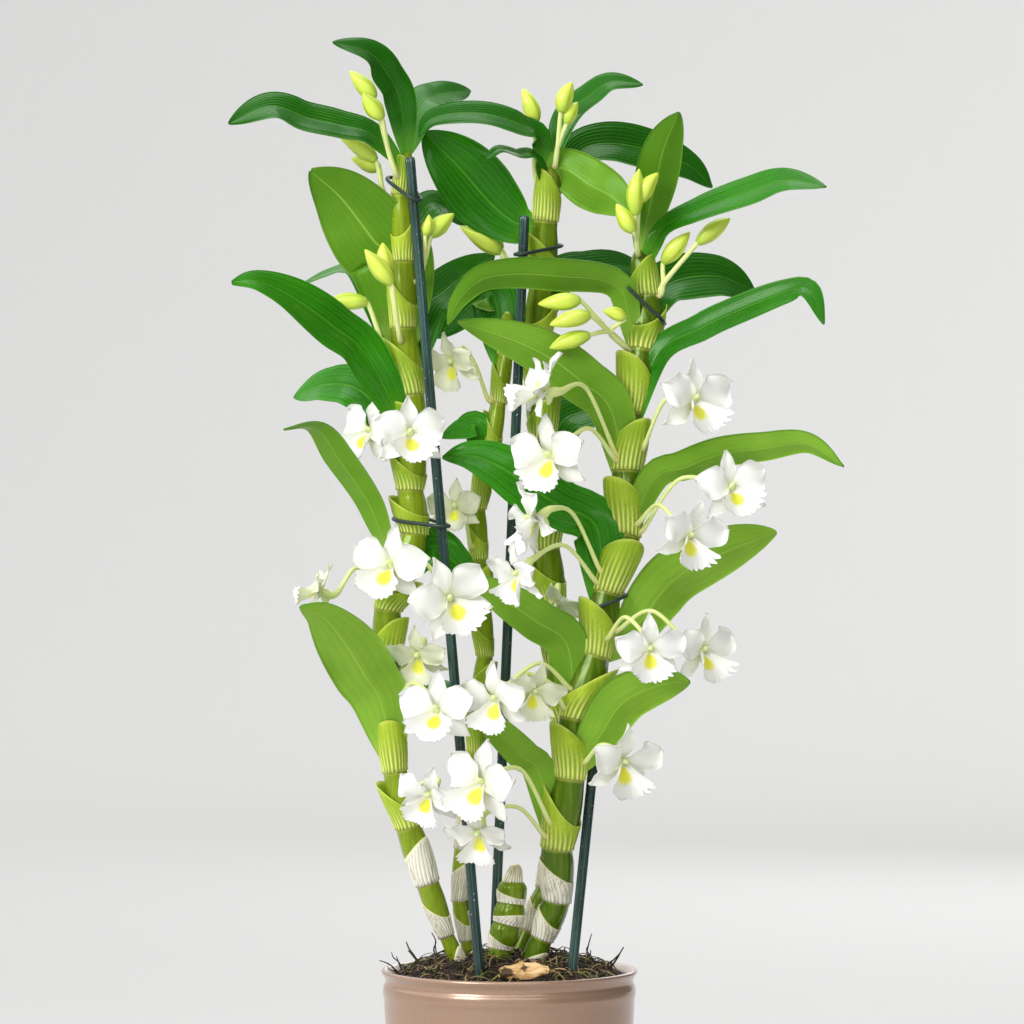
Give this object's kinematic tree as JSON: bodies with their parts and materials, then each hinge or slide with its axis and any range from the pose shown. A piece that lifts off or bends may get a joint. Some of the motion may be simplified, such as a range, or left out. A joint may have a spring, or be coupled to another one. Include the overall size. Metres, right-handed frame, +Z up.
{
  "type": "potted dendrobium orchid",
  "caption": "Dendrobium orchid in a lacquered cover pot: jointed canes with strap leaves, pale buds and white frilled blooms, tied to slim stakes that stand in bark mix",
  "frame": {"origin": "centre of the pot's underside, where the pot rests", "axes": "+Z up along the pot's axis and the plant's height, -Y towards the side that the plant shows, +X to the right seen from that side"},
  "size_m": [0.3174, 0.1461, 0.6092],
  "materials": {
    "pot_lacquer": "satin metallic copper-brown lacquer",
    "growing_mix": "dark moist bark and fibre",
    "bark": "dry pale bark chip",
    "stake_plastic": "ribbed dark green plastic",
    "tie_plastic": "coated wire",
    "leafy_stem": "waxy green leaves and glossy canes with pale ribbed sheaths",
    "petal": "soft white petals with a yellow throat",
    "bud_skin": "satin yellow-green buds"
  },
  "bodies": {
    "root": {"pot": "pot_lacquer", "substrate": "growing_mix", "bark_chip": "bark", "stake_left": "stake_plastic", "stake_middle": "stake_plastic", "stake_right": "stake_plastic", "tie_1": "tie_plastic", "tie_2": "tie_plastic", "tie_3": "tie_plastic", "tie_4": "tie_plastic", "tie_5": "tie_plastic", "cane_left": "leafy_stem", "cane_right": "leafy_stem", "cane_middle": "leafy_stem", "cane_slim": "leafy_stem", "cane_stub": "leafy_stem", "cane_old": "leafy_stem", "flower_01": "petal", "flower_02": "petal", "flower_03": "petal", "flower_04": "petal", "flower_05": "petal", "flower_06": "petal", "flower_07": "petal", "flower_08": "petal", "flower_09": "petal", "flower_10": "petal", "flower_11": "petal", "flower_12": "petal", "flower_13": "petal", "flower_14": "petal", "flower_15": "petal", "flower_16": "petal", "flower_17": "petal", "flower_18": "petal", "flower_19": "petal", "flower_20": "petal", "flower_21": "petal", "flower_22": "petal", "flower_23": "petal", "flower_24": "petal", "flower_25": "petal", "buds_01": "bud_skin", "buds_02": "bud_skin", "buds_03": "bud_skin", "buds_04": "bud_skin", "buds_05": "bud_skin", "buds_06": "bud_skin", "buds_07": "bud_skin", "buds_08": "bud_skin", "buds_09": "bud_skin", "buds_10": "bud_skin", "buds_11": "bud_skin"}
  },
  "joints": []
}
